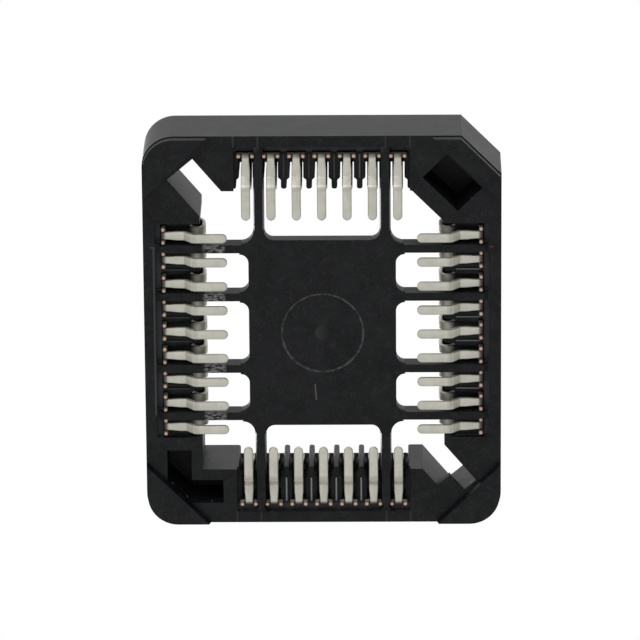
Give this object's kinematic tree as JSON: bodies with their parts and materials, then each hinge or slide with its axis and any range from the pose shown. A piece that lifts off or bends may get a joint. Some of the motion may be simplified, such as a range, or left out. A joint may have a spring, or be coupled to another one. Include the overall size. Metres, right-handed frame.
{
  "type": "ic socket",
  "caption": "Surface-mount socket for a leaded chip carrier: black moulded frame with one cut corner, a ribbed centre plate and four rows of bent, tin-plated spring contacts.",
  "frame": {"origin": "centre of the footprint on the board surface, level with the underside of the solder tails", "axes": "+Z away from the board, towards the chip; the long contact rows lie along Y; the cut corner is at -X +Y"},
  "size_m": [0.018, 0.0206, 0.0043],
  "materials": {
    "housing": "black glass-filled moulding, satin, scuffed",
    "contact": "tin plate over copper alloy, satin"
  },
  "bodies": {
    "root": {"housing": "housing", "contact_1": "contact", "contact_2": "contact", "contact_3": "contact", "contact_4": "contact", "contact_5": "contact", "contact_6": "contact", "contact_7": "contact", "contact_8": "contact", "contact_9": "contact", "contact_10": "contact", "contact_11": "contact", "contact_12": "contact", "contact_13": "contact", "contact_14": "contact", "contact_15": "contact", "contact_16": "contact", "contact_17": "contact", "contact_18": "contact", "contact_19": "contact", "contact_20": "contact", "contact_21": "contact", "contact_22": "contact", "contact_23": "contact", "contact_24": "contact", "contact_25": "contact", "contact_26": "contact", "contact_27": "contact", "contact_28": "contact", "contact_29": "contact", "contact_30": "contact", "contact_31": "contact", "contact_32": "contact"}
  },
  "joints": []
}
